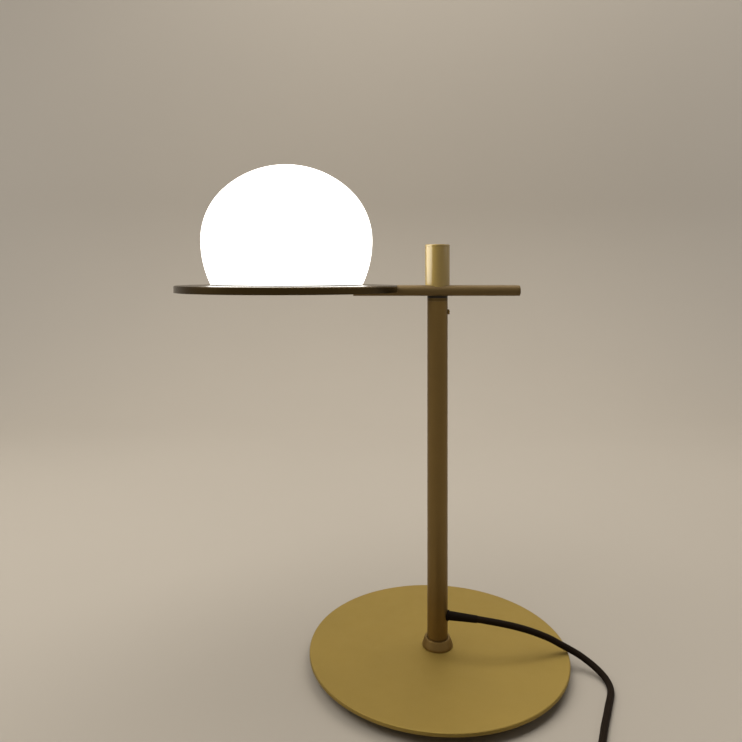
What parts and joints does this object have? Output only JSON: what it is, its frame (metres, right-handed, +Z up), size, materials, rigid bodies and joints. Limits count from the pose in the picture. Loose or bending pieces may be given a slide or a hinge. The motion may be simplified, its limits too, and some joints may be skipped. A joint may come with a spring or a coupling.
{
  "type": "table lamp",
  "caption": "Table lamp with a round base, a tube post, a swing arm that carries a saucer with a lit opal globe, and a textile cord with an in-line switch and a plug.",
  "frame": {"origin": "centre of the base's resting face, under the post's axis", "axes": "+Z up along the post, -X along the arm to the globe at rest, +X along the arm's tail, -Y to the front"},
  "size_m": [0.3987, 0.3679, 0.471],
  "materials": {
    "satin_gold": "satin, lightly brushed",
    "saucer_gold": "satin gold anodised",
    "ballast_iron": "rough black",
    "foot_rubber": "matte, fine grain",
    "zinc_steel": "zinc plated",
    "bush_brass": "machined",
    "dark_steel": "black oxide",
    "washer_black": "matte black",
    "grommet_rubber": "matte dark brown",
    "anchor_plastic": "moulded black",
    "lead_sheath": "smooth white sheath",
    "bare_aluminium": "turned",
    "heat_pad": "soft grey",
    "board_white": "white solder mask",
    "chip_phosphor": "yellow phosphor",
    "terminal_white": "moulded white",
    "gasket_clear": "milky silicone",
    "spring_steel": "sprung strip",
    "opal_glass": "opal, lit from inside",
    "switch_black": "moulded black",
    "rocker_black": "polished black",
    "cord_textile": "braided textile, dark brown",
    "tie_strap": "woven strap",
    "plug_black": "moulded black",
    "pin_nickel": "nickel plated"
  },
  "bodies": {
    "base": {"base_plate": "satin_gold", "ballast": "ballast_iron", "foot_pad": "foot_rubber", "ballast_screws": "zinc_steel", "post_bolt": "zinc_steel", "bolt_washer": "zinc_steel", "foot_plug": "bush_brass", "foot_collar": "satin_gold", "post_tube": "satin_gold", "cord_grommet": "grommet_rubber", "cord_anchor": "anchor_plastic", "post_lead": "lead_sheath", "swivel_bush": "bush_brass", "swivel_washer": "washer_black", "stop_screw": "satin_gold", "switch_base": "switch_black", "switch_cover": "switch_black", "switch_contact": "bush_brass", "switch_screws": "zinc_steel", "cord_run": "cord_textile", "cord_link": "cord_textile", "cord_coil": "cord_textile", "cord_tail": "cord_textile", "cord_tie": "tie_strap", "plug_sleeve": "plug_black", "plug_body": "plug_black", "plug_pins": "pin_nickel"},
    "arm": {"spindle": "dark_steel", "arm_sleeve": "bare_aluminium", "arm_tube": "satin_gold", "arm_end_cap": "satin_gold", "arm_tongue": "bare_aluminium", "tongue_screws": "zinc_steel", "arm_lead": "lead_sheath", "head": "satin_gold", "head_cap": "satin_gold", "saucer": "saucer_gold", "led_pad": "heat_pad", "led_board": "board_white", "led_chips": "chip_phosphor", "led_screws": "zinc_steel", "lead_terminal": "terminal_white", "globe_gasket": "gasket_clear", "globe_clips": "spring_steel", "clip_screws": "zinc_steel"},
    "globe": {"globe": "opal_glass", "globe_ring": "bare_aluminium"},
    "rocker": {"switch_rocker": "rocker_black"}
  },
  "joints": [
    {"name": "arm_swing", "type": "hinge", "parent": "base", "child": "arm", "pos_m": [0, 0, 0.3515], "axis": [0, 0, 1], "range_deg": [-150, 150]},
    {"name": "globe_lift", "type": "slide", "parent": "arm", "child": "globe", "axis": [0, 0, 1], "range_m": [0, 0.12]},
    {"name": "rocker_tip", "type": "hinge", "parent": "base", "child": "rocker", "pos_m": [0.041, -0.152, 0.014], "axis": [0, -1, 0], "range_deg": [0, 16]}
  ]
}
